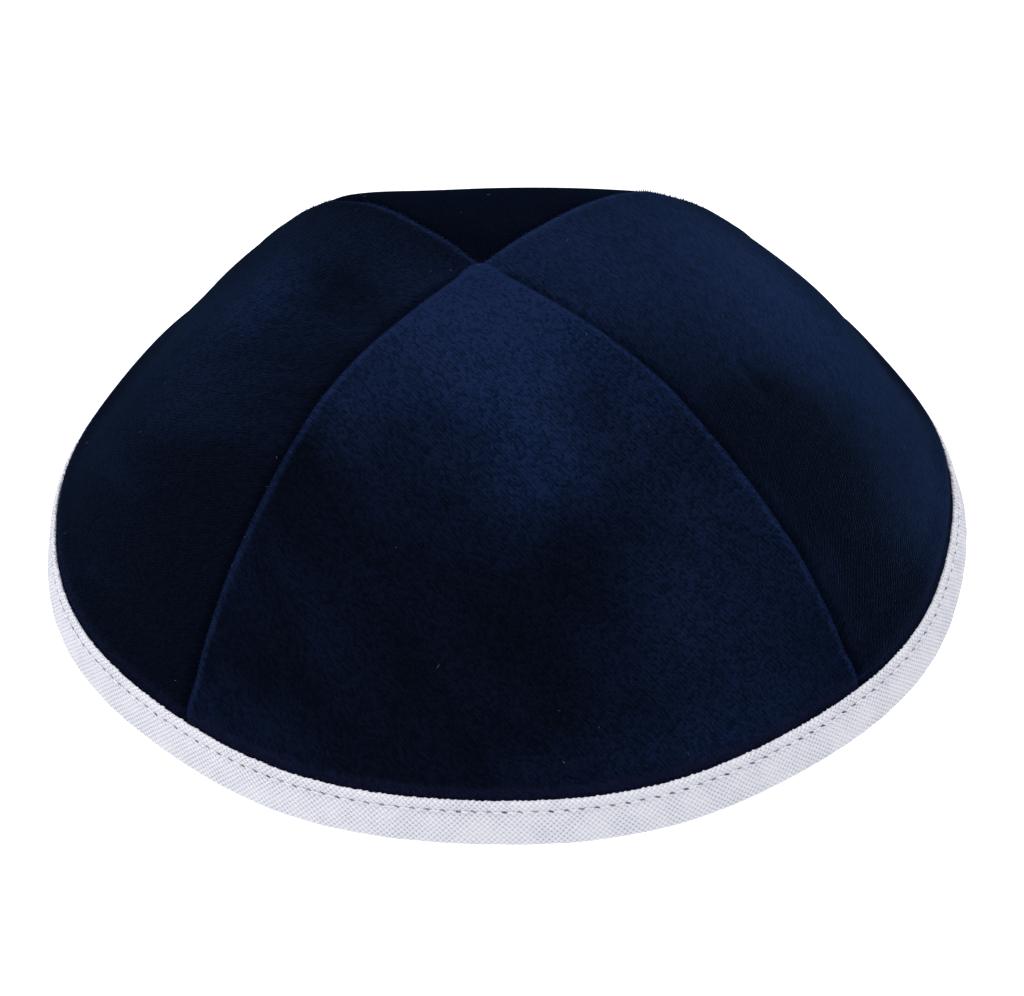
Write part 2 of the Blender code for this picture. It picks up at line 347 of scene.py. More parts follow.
def makePile():
    group, fed, out = newGroup("cutPile", (
        ("Flat", "NodeSocketVector", None),
        ("RowPitch", "NodeSocketFloat", 0.55 * mm),
        ("Slant", "NodeSocketFloat", 0.9),
    ), ("Height", "Tuft", "Nap"))
    wander = noiseIn(group, fed.outputs["Flat"], pileLook["wanderScale"], 3)
    wandering = (pileLook["wander"], pileLook["wander"], 0)
    shifted = moved(group, "MULTIPLY_ADD", wander.outputs["Color"], wandering, fed.outputs["Flat"])
    turned = turnedFlat(group, shifted, fed.outputs["Slant"])
    rowCount = worked(group, "DIVIDE", takenApart(group, turned)[1], fed.outputs["RowPitch"])
    row = worked(group, "COSINE", worked(group, "MULTIPLY", rowCount, math.tau))
    tufts = nodeIn(group, "ShaderNodeTexVoronoi", voronoi_dimensions="2D", feature="F1")
    feed(group, tufts.inputs["Vector"], moved(group, "MULTIPLY", turned, pileLook["tufts"]))
    tufts.inputs["Scale"].default_value = 1.0
    dome = worked(group, "SUBTRACT", 1.0, tufts.outputs["Distance"])
    fibre = noiseIn(group, fed.outputs["Flat"], pileLook["fibres"]).outputs[0]
    tone = nodeIn(group, "ShaderNodeSeparateColor")
    feed(group, tone.inputs[0], tufts.outputs["Color"])
    for output, tuft, kind in (("Height", dome, "height"), ("Tuft", tone.outputs[0], "tone")):
        parts = pileLook[kind]
        total = summed(group, (row, parts["row"]), (tuft, parts["tuft"]), (fibre, parts["fibre"]))
        feed(group, out.inputs[output], total)
    strokes = moved(group, "MULTIPLY", turned, pileLook["strokes"])
    stroked = noiseIn(group, strokes, 1.0, pileLook["strokeDetail"])
    stroked.inputs["Roughness"].default_value = pileLook["strokeRoughness"]
    feed(group, out.inputs["Nap"], stroked.outputs[0])
    return group


def makePaintedLightPatch():
    # one soft patch of painted light, from a flat position; a strength below nothing paints shade
    group, fed, out = newGroup("paintedLightPatch", (
        ("Flat", "NodeSocketVector", None),
        ("Centre", "NodeSocketVector", None),
        ("Shrink", "NodeSocketVector", (50.0, 50.0, 1.0)),
        ("Strength", "NodeSocketFloat", 1.0),
    ), ("Mask",))
    away = moved(group, "SUBTRACT", fed.outputs["Flat"], fed.outputs["Centre"])
    far = moved(group, "LENGTH", moved(group, "MULTIPLY", away, fed.outputs["Shrink"]))
    near = ranged(group, far, 0.0, 1.6, 1.0, 0.0)
    feed(group, out.inputs["Mask"], worked(group, "MULTIPLY", near, fed.outputs["Strength"]))
    return group


weaveGroup = makeWeave()
pileGroup = makePile()
paintedLightGroup = makePaintedLightPatch()


def newMaterial(name):
    material = bpy.data.materials.new(name)
    material.use_nodes = True
    return material, material.node_tree, material.node_tree.nodes["Principled BSDF"]


def flatPosition(tree):
    # the uv map holds metres on the flat cloth
    return nodeIn(tree, "ShaderNodeUVMap", uv_map="cloth").outputs[0]


velvetLook = {
    "deepest": (0.0012, 0.0020, 0.0042, 1),   # the dark velvet with no painted light on it, between the tufts and on them
    "deep": (0.0023, 0.0038, 0.0094, 1),
    "blue": (0.0052, 0.0150, 0.0520, 1),      # painted light on the nap; blue and violet by turns as the nap is stroked
    "violet": (0.0090, 0.0155, 0.0510, 1),
    "combedNapLight": (0.0105, 0.0115, 0.0340, 1),    # painted light on the nap where the tape's edge combs it down
    "rimFuzz": 3.4 * mm,                      # the painted light on that nap reaches this far up above the tape
    # the colour of the painted shadow in a crease
    "crease": (0.0003, 0.0005, 0.0016, 1),
    "creaseWidth": (0.3 * mm, 3.0 * mm),      # painted shadow on an edge beneath, from here to there
    "creaseLight": 0.25,                      # what is left of the colour under the painted shadow in the crease
    "edgeGlow": 0.50,                         # painted highlight on an edge on top, this strong
    "glowWidth": (0.2 * mm, 1.5 * mm),
    "rowPitch": 0.62 * mm,
    "grain": (0.15, 0.85),                    # the tones of the darkest and the lightest tufts
    "napShare": 0.35,                         # how much the stroked nap counts in the painted light, beside the patches
    "raggedScale": 55,                        # the patches of painted light have ragged outlines
    "ragged": 10 * mm,
    "bumpStrength": 0.8,
    "bumpDistance": 0.35 * mm,
    "sheenTint": (0.20, 0.42, 1.0, 1),
}


def makeVelvet(name, panel):
    material, tree, shader = newMaterial(name)
    flat = flatPosition(tree)
    slant = math.radians(panel["slant"])
    pile = placed(tree, pileGroup, Flat=flat, RowPitch=velvetLook["rowPitch"], Slant=slant)
    grain = ranged(tree, pile.outputs["Tuft"], *velvetLook["grain"], smooth=False)

    def grained(value, least, most):
        share = ranged(tree, grain, 0.0, 1.0, least, most, smooth=False)
        return worked(tree, "MULTIPLY", value, share, clamp=True)

    # painted light and shade on the velvet: the panel's level, the stroked nap and the patches
    ragged = noiseIn(tree, flat, velvetLook["raggedScale"], 3)
    spread = velvetLook["ragged"]
    place = moved(tree, "MULTIPLY_ADD", ragged.outputs["Color"], (spread, spread, 0), flat)
    place = moved(tree, "SUBTRACT", place, (spread / 2, spread / 2, 0))
    napShare = velvetLook["napShare"]
    total = worked(tree, "MULTIPLY_ADD", pile.outputs["Nap"], napShare, panel["ground"] - napShare / 2)
    for across, up, halfWidth, halfHeight, strength in panel["patches"]:
        mask = placed(tree, paintedLightGroup, Flat=place, Centre=(across * mm, up * mm, 0),
                      Shrink=(1 / (halfWidth * mm), 1 / (halfHeight * mm), 1), Strength=strength)
        total = worked(tree, "ADD", total, mask.outputs["Mask"])

    # a painted highlight on an edge that laps over its neighbour's, a painted shadow on the one beneath
    shade = None
    for layer, laps in (("fromFirst", panel["lapsFirst"]), ("fromLast", panel["lapsLast"])):
        away = nodeIn(tree, "ShaderNodeAttribute", attribute_name=layer).outputs["Fac"]
        if laps:
            glow = ranged(tree, away, *velvetLook["glowWidth"], velvetLook["edgeGlow"], 0.0)
            total = worked(tree, "ADD", total, glow)
        else:
            clear = ranged(tree, away, *velvetLook["creaseWidth"], velvetLook["creaseLight"], panel["open"])
            shade = clear if shade is None else worked(tree, "MULTIPLY", shade, clear)

    # painted light on the nap just above the tape, where the tape's edge combs it down
    tapeTop = (wallPoint(0, cap["puffFoot"]) - wallPoint(0, footHeight())).length
    climbed = takenApart(tree, flat)[1]
    fuzz = ranged(tree, climbed, tapeTop, tapeTop + velvetLook["rimFuzz"], panel["rimGlow"], 0.0)
    dim = mixedColour(tree, grain, velvetLook["deepest"], velvetLook["deep"])
    hue = mixedColour(tree, pile.outputs["Nap"], velvetLook["blue"], velvetLook["violet"])
    # the painted light takes the colour from the dark velvet towards the lit blue and violet
    colour = mixedColour(tree, grained(total, 0.35, 1.65), dim, hue)
    colour = mixedColour(tree, grained(fuzz, 0.5, 1.5), colour, velvetLook["combedNapLight"])
    # painted shadow along an edge beneath, and over all of a panel whose open is below 1
    if shade is not None:
        colour = mixedColour(tree, shade, velvetLook["crease"], colour)
    bumped(tree, shader, pile.outputs["Height"], velvetLook["bumpStrength"], velvetLook["bumpDistance"])
    dressed(tree, shader, {
        "Base Color": colour,
        "Roughness": ranged(tree, pile.outputs["Tuft"], 0.2, 0.9, 0.95, 0.8, smooth=False),
        "Specular IOR Level": 0.0,
        "Sheen Weight": panel["sheen"],
        "Sheen Roughness": 0.35,
        "Sheen Tint": velvetLook["sheenTint"],
    })
    return material


# The woven ground on the velvet's wrong side.
backLook = {
    "pitch": 0.42 * mm,
    "thread": (0.010, 0.014, 0.042, 1),
    "slub": (0.018, 0.024, 0.062, 1),
    "gap": (0.002, 0.003, 0.010, 1),
}


def makeBackCloth():
    material, tree, shader = newMaterial("velvetBack")
    weave = placed(tree, weaveGroup, Flat=flatPosition(tree), Pitch=backLook["pitch"], Turn=0.0, Slub=0.5)
    worn = mixedColour(tree, weave.outputs["Slub"], backLook["thread"], backLook["slub"])
    bumped(tree, shader, weave.outputs["Height"], 0.6, 0.1 * mm)
    dressed(tree, shader, {
        "Base Color": mixedColour(tree, weave.outputs["Hole"], worn, backLook["gap"]),
        "Roughness": ranged(tree, weave.outputs["Height"], 0, 1, 0.95, 0.75, smooth=False),
        "Specular IOR Level": 0.2,
        "Sheen Weight": 0.1,
    })
    return material


# The bias tape: length round the rim, its weave and its row of stitches.
tapeReach = 84.0 * mm                   # the uv map is laid out this far from the middle
tape = {
    "round": math.tau * tapeReach,
    "top": 8.4 * mm,                    # its outer edge, a little below the solid's
    "stitches": 209,
    "rowBelowTop": 1.25 * mm,
    "rowWidth": 0.75 * mm,              # the row of stitches pulls the tape in over this width
    "rowPull": 0.10 * mm,
    "holePull": 0.16 * mm,              # and further at each needle hole
    "holeWidth": 0.5 * mm,
    "slot": (0.55 * mm, 0.17 * mm),     # half the length and half the width of a needle hole
    "slotSlant": 12.8,
    "slotJitter": 0.16 * mm,
    "slotDepth": 1.5,                   # beside the weave's own height
    "ripples": ((0.10 * mm, 22, 160), (0.05 * mm, 75, 500)),      # depth, noise round the rim and up the tape
    "weaveRepeats": 540,
    "turns": 100,
    "cuts": 13,
    "cloudScale": 160,                  # faint clouds of shade in the white
    "cloudShare": 0.25,
    "white": (0.78, 0.78, 0.83, 1),
    "slub": (0.79, 0.79, 0.84, 1),
    # the grey of the faint clouds, and of the painted shade on the threads' sides
    "shade": (0.56, 0.57, 0.66, 1),
    "gap": (0.26, 0.27, 0.36, 1),
    # painted shade in the needle holes
    "hole": (0.035, 0.04, 0.075, 1),
}


def makeLinen(row):
    # row: how far up the flat tape the stitches run
    material, tree, shader = newMaterial("whiteLinen")
    flat = flatPosition(tree)
    pitch = tape["round"] / tape["weaveRepeats"] / math.sqrt(2)
    weave = placed(tree, weaveGroup, Flat=flat, Pitch=pitch, Turn=math.pi / 4, Slub=0.45)
    cloudy = noiseIn(tree, flat, tape["cloudScale"], 3).outputs[0]
    thread = mixedColour(tree, ranged(tree, cloudy, 0.35, 0.7), tape["white"], tape["shade"])
    thread = mixedColour(tree, tape["cloudShare"], tape["white"], thread)
    # painted shade: each thread is darker at its sides, where the weave is low
    lit = ranged(tree, weave.outputs["Height"], 0.35, 0.95, 0.45, 1.0)
    thread = mixedColour(tree, lit, tape["shade"], thread)
    bright = mixedColour(tree, weave.outputs["Slub"], thread, tape["slub"])
    opened = worked(tree, "MULTIPLY", weave.outputs["Hole"], ranged(tree, cloudy, 0.3, 0.7, 0.25, 1.0))
    woven = mixedColour(tree, opened, bright, tape["gap"])

    # needle holes: one slanting slot for each stitch, each a little higher or lower and more or less open,
    # painted dark as the shade in the hole
    across, up = takenApart(tree, flat)
    step = tape["round"] / tape["stitches"]
    count = worked(tree, "DIVIDE", across, step)
    along = worked(tree, "MULTIPLY", worked(tree, "SUBTRACT", worked(tree, "FRACT", count), 0.5), step)
    jitter = nodeIn(tree, "ShaderNodeTexWhiteNoise", noise_dimensions="1D")
    feed(tree, jitter.inputs["W"], worked(tree, "FLOOR", count))
    aside = worked(tree, "SUBTRACT", jitter.outputs["Value"], 0.5)
    above = worked(tree, "MULTIPLY_ADD", aside, tape["slotJitter"], worked(tree, "SUBTRACT", up, row))
    cosine, sine = math.cos(math.radians(tape["slotSlant"])), math.sin(math.radians(tape["slotSlant"]))
    squares = []
    for (alongPart, upPart), half in zip(((cosine, -sine), (sine, cosine)), tape["slot"]):
        reach = summed(tree, (along, alongPart / half), (above, upPart / half))
        squares.append(worked(tree, "POWER", worked(tree, "ABSOLUTE", reach), 2.0))
    slots = ranged(tree, worked(tree, "ADD", *squares), 0.35, 1.3, 1.0, 0.0)
    openness = ranged(tree, jitter.outputs["Value"], 0, 1, 0.5, 1.0, smooth=False)
    depth = worked(tree, "MULTIPLY", slots, openness)
    height = worked(tree, "MULTIPLY_ADD", slots, -tape["slotDepth"], weave.outputs["Height"])
    bumped(tree, shader, height, 0.9, 0.25 * mm)
    dressed(tree, shader, {
        "Base Color": mixedColour(tree, depth, woven, tape["hole"]),
        "Roughness": ranged(tree, weave.outputs["Height"], 0, 1, 0.95, 0.78, smooth=False),
        "Specular IOR Level": 0.25,
        "Sheen Weight": 0.08,
    })
    return material


def makeThread(name, colour, dark):
    material, tree, shader = newMaterial(name)
    place = nodeIn(tree, "ShaderNodeTexCoord").outputs["Object"]
    fibre = noiseIn(tree, place, 2600, dimensions="3D").outputs[0]
    bumped(tree, shader, fibre, 0.4, 0.05 * mm)
    dressed(tree, shader, {
        "Base Color": mixedColour(tree, ranged(tree, fibre, 0.3, 0.7), dark, colour),
        "Roughness": ranged(tree, fibre, 0.2, 0.8, 0.7, 0.9, smooth=False),
    })
    return material


def makeTuftLook():
    material, tree, shader = newMaterial("pileTufts")
    place = nodeIn(tree, "ShaderNodeTexCoord").outputs["Object"]
    patchy = ranged(tree, noiseIn(tree, place, 60, 4, "3D").outputs[0], 0.3, 0.7, 0.35, 1.1)
    fibre = noiseIn(tree, place, 3000, dimensions="3D").outputs[0]
    share = worked(tree, "MULTIPLY", patchy, ranged(tree, fibre, 0.3, 0.7, 0.5, 1.2), clamp=True)
    dressed(tree, shader, {
        "Base Color": mixedColour(tree, share, velvetLook["deep"], velvetLook["violet"]),
        "Roughness": ranged(tree, fibre, 0, 1, 0.8, 0.95, smooth=False),
        "Specular IOR Level": 0.0,
        "Sheen Weight": 0.03,
        "Sheen Roughness": 0.4,
        "Sheen Tint": velvetLook["sheenTint"],
    })
    return material


backCloth = makeBackCloth()
tuftLook = makeTuftLook()
print("cap: cloth and thread finishes made")

# Each panel lies between two seams, anticlockwise from above. Where lapsFirst or lapsLast is true its edge
# laps over the neighbour's. slack: how far the level sections' flattening counts for it. slant: of its rows
# of pile, in degrees.
# ground: painted light on all of it. open: the share of its colour kept beyond its creases' painted shadow;
# below 1 it paints shade over the whole panel. rimGlow: of the painted light on its nap just above the tape.
# Patches of painted light, painted shade where the strength is below nothing: across mm, up mm, half width
# mm, half height mm, strength.
# Dents: across mm, up mm, half length mm, half width mm, turn, depth mm; a depth below nothing swells out.
panels = {
    "velvetFront": {
        "node": "panel_front", "first": "frontLeft", "last": "frontRight", "slack": 1.0,
        "lapsFirst": True, "lapsLast": True, "tipReach": 0.6 * mm, "tipLift": 0.4 * mm, "tipRound": 2.2 * mm,
        "slant": 52, "open": 1.0, "ground": 0.025, "sheen": 0.015, "rimGlow": 0.62, "dents": (),
        "patches": (
            (0, 100, 34, 36, 0.86),       # painted light round the tip
            (4, 72, 9, 14, 0.20),
            (6, 62, 10, 9, 0.20),
            (-13, 72, 8, 9, -0.10),
            (-27, 70, 7, 9, 0.12),
            (17, 73, 6, 7, -0.12),
            (26, 72, 6, 7, 0.12),
            (42, 34, 28, 40, 0.30),       # a paler field of painted light on its right
            (30, 7, 30, 10, 0.22),
            (-50, 36, 9, 14, 0.08),
            (-56, 10, 22, 8, 0.16),
        ),
    },
    "velvetRight": {
        "node": "panel_right", "first": "frontRight", "last": "backRight", "slack": 0.8,
        "lapsFirst": False, "lapsLast": True, "tipReach": 1.0 * mm, "tipLift": -0.3 * mm, "tipRound": 0,
        "slant": -38, "open": 1.0, "ground": 0.065, "sheen": 0.065, "rimGlow": 0.25,
        "dents": ((-19, 60, 4.5, 1.6, 49, 0.7), (24, 14, 15, 10, 0, 1.6), (27, 42, 12, 12, 0, -0.7)),
        "patches": (
            (4, 92, 32, 34, 0.42),
            (10, 60, 22, 18, 0.36),       # painted light down its outer side
            (26, 54, 14, 24, 0.22),
            (4, 44, 18, 16, 0.36),
            (-4, 28, 18, 16, 0.34),
            (-16, 12, 18, 12, 0.30),
            (-26, 56, 10, 10, -0.20),     # and painted shade beside it
            (-30, 42, 10, 12, -0.20),
            (-42, 26, 12, 12, -0.12),
        ),
    },
    "velvetBack": {
        "node": "panel_back", "first": "backRight", "last": "backLeft", "slack": 1.4,
        "lapsFirst": False, "lapsLast": False, "tipReach": 1.0 * mm, "tipLift": -0.3 * mm, "tipRound": 0,
        "slant": 52, "open": 0.72, "ground": -0.02, "sheen": 0.026, "rimGlow": 0.08,
        "dents": ((-2, 84, 14, 10, 0, 0.5), (22, 78, 9, 9, 0, -0.5)),
        "patches": ((0, 52, 40, 20, 0.08), (10, 30, 30, 20, 0.14)),
    },
    "velvetLeft": {
        "node": "panel_left", "first": "backLeft", "last": "frontLeft", "slack": 0.3,
        "lapsFirst": True, "lapsLast": False, "tipReach": 1.0 * mm, "tipLift": -0.3 * mm, "tipRound": 0,
        "slant": -38, "open": 1.0, "ground": -0.02, "sheen": 0.034, "rimGlow": 0.35,
        "dents": ((-18, 15, 14, 10, 0, 1.2), (-24, 66, 12, 10, 0, 0.55)),
        "patches": (
            (4, 66, 26, 36, 0.22),
            (8, 97, 12, 9, 0.12),
            (-2, 68, 9, 10, 0.16),
            (4, 81, 9, 6, -0.12),
            (-18, 44, 22, 30, 0.12),
        ),
    },
}

panelCut = {
    "columns": 132,
    "crowding": 0.8,            # how much closer the columns stand at the seams
    "rowsInTape": 3,
    "rowsPerSection": 9,
    "seamGap": 0.04 * mm,
    "narrow": 14.0 * mm,        # where a panel is narrower than this its seams' forms shrink with it
    "edgeWall": 0.17,           # a panel's wall thins to this share at its seams, over this width
    "edgeWallWidth": 2.4 * mm,
    "lapReach": 0.45 * mm,      # an edge on top is stretched this far over its neighbour, over this width
    "lapStretch": 2.2 * mm,
    "lapDepth": 0.28 * mm,      # it turns down this far, over this width
    "lapWidth": 1.0 * mm,
    "lapSwell": 0.22 * mm,      # and swells this much, this far from its edge, over this width
    "swellPlace": 1.7 * mm,
    "swellWidth": 1.5 * mm,
    "underReach": 1.3 * mm,     # an edge beneath is stretched this far under its neighbour, over this width
    "underStretch": 3.2 * mm,
    "sinkDepth": 1.0 * mm,      # it sinks this far, over this width
    "sinkWidth": 3.2 * mm,
    "pucker": 0.10 * mm,        # the seams pucker, over this width
    "puckerWidth": 5.0 * mm,
    "puckerRate": 210,          # of the noise along a seam, in each metre
    "softness": 0.24 * mm,      # slow unevenness all over
    "softRate": 45,
    "heldAbove": 4.0 * mm,      # the tape holds the cloth smooth; it comes loose over this height above it
    "tipLength": 12.0 * mm,
    "tipShift": Vector((0, -1.5 * mm, 0)),      # the four tips meet this far in front of the crown's middle
}
tiny = 1e-9                     # keeps a width of nothing from dividing


def panelPoint(row, firstSeam, lastSeam, span, slack, share):
    # a point on the level arc between two seams; row holds its height, a seam's reach and how round it is
    height, reach, belly = row
    climbed = riseShare(height)
    swayed = 27 / 4 * climbed**2 * (1 - climbed)      # 1 at its most, two thirds of the way up
    ends = []
    for seam, side in ((firstSeam, 1), (lastSeam, -1)):
        sunk = seam["slump"] * cap["rimDiameter"] / 2 * math.sin(math.pi * climbed)
        azimuth = seam["azimuth"] + seam["sway"] * swayed
        aside = levelWay(azimuth + 90 * side) * panelCut["seamGap"]
        ends.append((middleAt(height) + levelWay(azimuth) * (reach - sunk), aside))
    (start, startAside), (end, endAside) = ends
    across = end - start
    outward = Vector((across.y, -across.x, 0)).normalized()
    fullRound = across.length / 2 * math.tan(span / 4)
    middle = (start + end) / 2 + outward * fullRound * (1 - (1 - belly) * slack)
    start, end = start + startAside, end + endAside
    chord = end - start
    half = chord.length / 2
    way = chord.normalized()
    outward = Vector((way.y, -way.x, 0))
    rise = (middle - (start + end) / 2).dot(outward)
    radius = (half**2 + rise**2) / (2 * rise)
    sweep = math.asin(min(1.0, half / radius)) if rise <= half else math.pi - math.asin(half / radius)
    turn = sweep * (2 * share - 1)
    point = (start + end) / 2 + way * radius * math.sin(turn)
    return point + outward * (radius * math.cos(turn) - (radius - rise))


def panelRows():
    foot = wallPoint(0, footHeight())
    neck = wallPoint(0, cap["tapeHeight"])
    rows = []
    for step in range(panelCut["rowsInTape"]):
        reach, height = foot.lerp(neck, step / panelCut["rowsInTape"])
        rows.append((height, reach, 1.0))
    rise = cap["crownHeight"] - neck.y
    guides = [Vector((neck.y, neck.x, 1.0))]
    guides += [Vector((neck.y + high * rise, far * neck.x, belly)) for high, far, belly in crownSections]
    guides.append(Vector((cap["crownHeight"], 0.0, crownSections[-1][2])))
    steps = (len(guides) - 1) * panelCut["rowsPerSection"]
    rows += [tuple(eased(guides, step / panelCut["rowsPerSection"])) for step in range(steps)]
    return rows


seamLines = []      # (points, normals, ways across) of each lapping edge, for its tufts
rimBand = []        # (corner, next corner, way up, normal) of the velvet just above the tape


def panelGrid(bm, panel, rows):
    # a flat grid, with its points moved to their places on the cap; the top row is the crown's middle
    first, last = seams[panel["first"]], seams[panel["last"]]
    span = math.radians((last["azimuth"] - first["azimuth"]) % 360)
    columns = panelCut["columns"]
    bmesh.ops.create_grid(bm, x_segments=columns, y_segments=len(rows), size=1.0)
    grid = {}
    for vert in bm.verts:
        column = round((vert.co.x + 1) / 2 * columns)
        row = round((vert.co.y + 1) / 2 * len(rows))
        grid[column, row] = vert
    for (column, row), vert in grid.items():
        if row == len(rows):
            vert.co = middleAt(cap["crownHeight"])
        else:
            place = panelPoint(rows[row], first, last, span, panel["slack"], columnShare(column))
            vert.co = softened(place)
    return grid


def columnShare(column):
    even = column / panelCut["columns"]
    return even - panelCut["crowding"] * math.sin(math.tau * even) / math.tau


def layOut(grid, topRow, across, up, fromFirst, fromLast):
    # how far each point lies across and up the flat cloth, and from the two seams
    columns = panelCut["columns"]
    middle = columns // 2
    climbed = 0.0
    for row in range(topRow + 1):
        if row:
            climbed += (grid[middle, row].co - grid[middle, row - 1].co).length
        lengths = [0.0]
        for column in range(1, columns + 1):
            lengths.append(lengths[-1] + (grid[column, row].co - grid[column - 1, row].co).length)
        for column in range(columns + 1):
            vert = grid[column, row]
            vert[across] = lengths[column] - lengths[middle]
            vert[up] = climbed
            vert[fromFirst] = lengths[column]
            vert[fromLast] = lengths[-1] - lengths[column]
    return climbed


def nearEdge(away, width):
    return max(0.0, 1 - away / (width + tiny))


def edgeLift(away, laps, small):
    # an edge on top swells and turns down, an edge beneath sinks
    if laps:
        turnedDown = panelCut["lapDepth"] * nearEdge(away, panelCut["lapWidth"] * small) ** 2
        swell = panelCut["lapSwell"] * bell(away - panelCut["swellPlace"], panelCut["swellWidth"])
        return (swell - turnedDown) * small
    return -panelCut["sinkDepth"] * small * nearEdge(away, panelCut["sinkWidth"] * small) ** 2


def edgeShift(away, laps, small, outward):
    # an edge on top reaches over its neighbour, an edge beneath reaches under it
    stretch, reach = ("lapStretch", "lapReach") if laps else ("underStretch", "underReach")
    if outward.length < tiny:
        return Vector()
    return outward.normalized() * panelCut[reach] * nearEdge(away, panelCut[stretch] * small) ** 2 * small


def dentDepth(dents, across, up):
    total = 0.0
    for dentAcross, dentUp, halfLength, halfWidth, turn, depth in dents:
        aside, above = across / mm - dentAcross, up / mm - dentUp
        cosine, sine = math.cos(math.radians(turn)), math.sin(math.radians(turn))
        far = math.hypot((aside * cosine + above * sine) / halfLength,
                         (above * cosine - aside * sine) / halfWidth)
        total += depth * mm * bell(far, 1.0)
    return total


def tipMove(panel, fromTop, middleWay, share):
    # the shift and the lift near the tip
    tip = smoothStep(1 - fromTop / panelCut["tipLength"])
    shift = (panelCut["tipShift"] - middleWay * panel["tipReach"]) * tip
    if panel["tipRound"]:
        # a blunt, round tip in place of a sharp one
        wider = max(0.0, math.sqrt(2 * panel["tipRound"] * max(0.0, fromTop)) - 0.95 * fromTop)
        shift += middleWay.cross(Vector((0, 0, -1))) * wider * (2 * share - 1)
    return shift, panel["tipLift"] * tip


def keepSeamLine(grid, topRow, first):
    # where its tufts stand: one column in from the edge, with the normals of the flatter cloth further in
    last = panelCut["columns"]
    edge, inside, further = (0, 1, 8) if first else (last, last - 1, last - 8)
    rows = range(panelCut["rowsInTape"] + 2, topRow - 1)
    points = [grid[inside, row].co.copy() for row in rows]
    normals = [grid[further, row].normal.copy() for row in rows]
    ways = [(grid[edge, row].co - point).normalized() for row, point in zip(rows, points)]
    seamLines.append((points, normals, ways))


def makePanel(name, panel):
    first, last = seams[panel["first"]], seams[panel["last"]]
    middleWay = levelWay(first["azimuth"] + (last["azimuth"] - first["azimuth"]) % 360 / 2)
    rows = panelRows()
    columns, topRow = panelCut["columns"], len(rows)
    bm = bmesh.new()
    across, up, fromFirst, fromLast = (
        bm.verts.layers.float.new(layer) for layer in ("across", "up", "fromFirst", "fromLast")
    )
    uv = bm.loops.layers.uv.new("cloth")
    grid = panelGrid(bm, panel, rows)
    length = layOut(grid, topRow, across, up, fromFirst, fromLast)
    bm.normal_update()

    moves = {}
    for (column, row), vert in grid.items():
        small = min(1.0, (vert[fromFirst] + vert[fromLast]) / panelCut["narrow"])
        loose = smoothStep((vert.co.z - cap["tapeHeight"]) / panelCut["heldAbove"])
        shift, lift = tipMove(panel, length - vert[up], middleWay, columnShare(column))
        softPlace = vert.co * panelCut["softRate"] + Vector((3, 7, 1)) * len(name)
        lift += panelCut["softness"] * loose * noise.noise(softPlace)
        lift -= dentDepth(panel["dents"], vert[across], vert[up]) * loose
        for away, laps, side in (
            (vert[fromFirst], panel["lapsFirst"], -1),
            (vert[fromLast], panel["lapsLast"], 1),
        ):
            outer = grid[min(columns, max(0, column + side)), row]
            inner = grid[min(columns, max(0, column - side)), row]
            shift += edgeShift(away, laps, small, outer.co - inner.co)
            ripple = noise.noise(Vector((vert[up] * panelCut["puckerRate"] + side * 9, len(name), 0.5)))
            puckered = panelCut["pucker"] * small * ripple * nearEdge(away, panelCut["puckerWidth"])
            lift += edgeLift(away, laps, small) + puckered * loose
        moves[vert] = shift + vert.normal * lift
    for vert, move in moves.items():
        vert.co += move
    bm.normal_update()

    for side in ("First", "Last"):
        if panel["laps" + side]:
            keepSeamLine(grid, topRow, side == "First")
    foot = panelCut["rowsInTape"]
    for column in range(columns):
        corner, beside, above = grid[column, foot], grid[column + 1, foot], grid[column, foot + 3]
        rimBand.append((corner.co.copy(), beside.co.copy(), above.co - corner.co, corner.normal.copy()))

    weights = {}
    for vert in bm.verts:
        small = min(1.0, (vert[fromFirst] + vert[fromLast]) / panelCut["narrow"])
        far = min(vert[fromFirst], vert[fromLast]) / (panelCut["edgeWallWidth"] * small + tiny)
        weights[vert] = panelCut["edgeWall"] + (1 - panelCut["edgeWall"]) * smoothStep(far)
    for face in bm.faces:
        for loop in face.loops:
            loop[uv].uv = (loop.vert[across], loop.vert[up])
    topPoints = [grid[column, topRow] for column in range(columns + 1)]
    bmesh.ops.remove_doubles(bm, verts=topPoints, dist=0.01 * mm)
    bm.verts.index_update()
    thickness = {vert.index: weight for vert, weight in weights.items() if vert.is_valid}

    piece = newPiece(name, bm, (makeVelvet(name + "Pile", panel), backCloth))
    wall = piece.vertex_groups.new(name="wall")
    for index, weight in thickness.items():
        wall.add([index], weight, "REPLACE")
    thick = piece.modifiers.new("wall", "SOLIDIFY")
    thick.thickness = cap["velvetWall"]
    thick.offset = -1
    thick.use_even_offset = False
    thick.material_offset = 1
    thick.material_offset_rim = 0
    thick.vertex_group = "wall"
    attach(piece, "root")
    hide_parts(panel["node"])
    return piece


velvetPieces = {name: makePanel(name, panel) for name, panel in panels.items()}
print("cap: four velvet panels shaped")


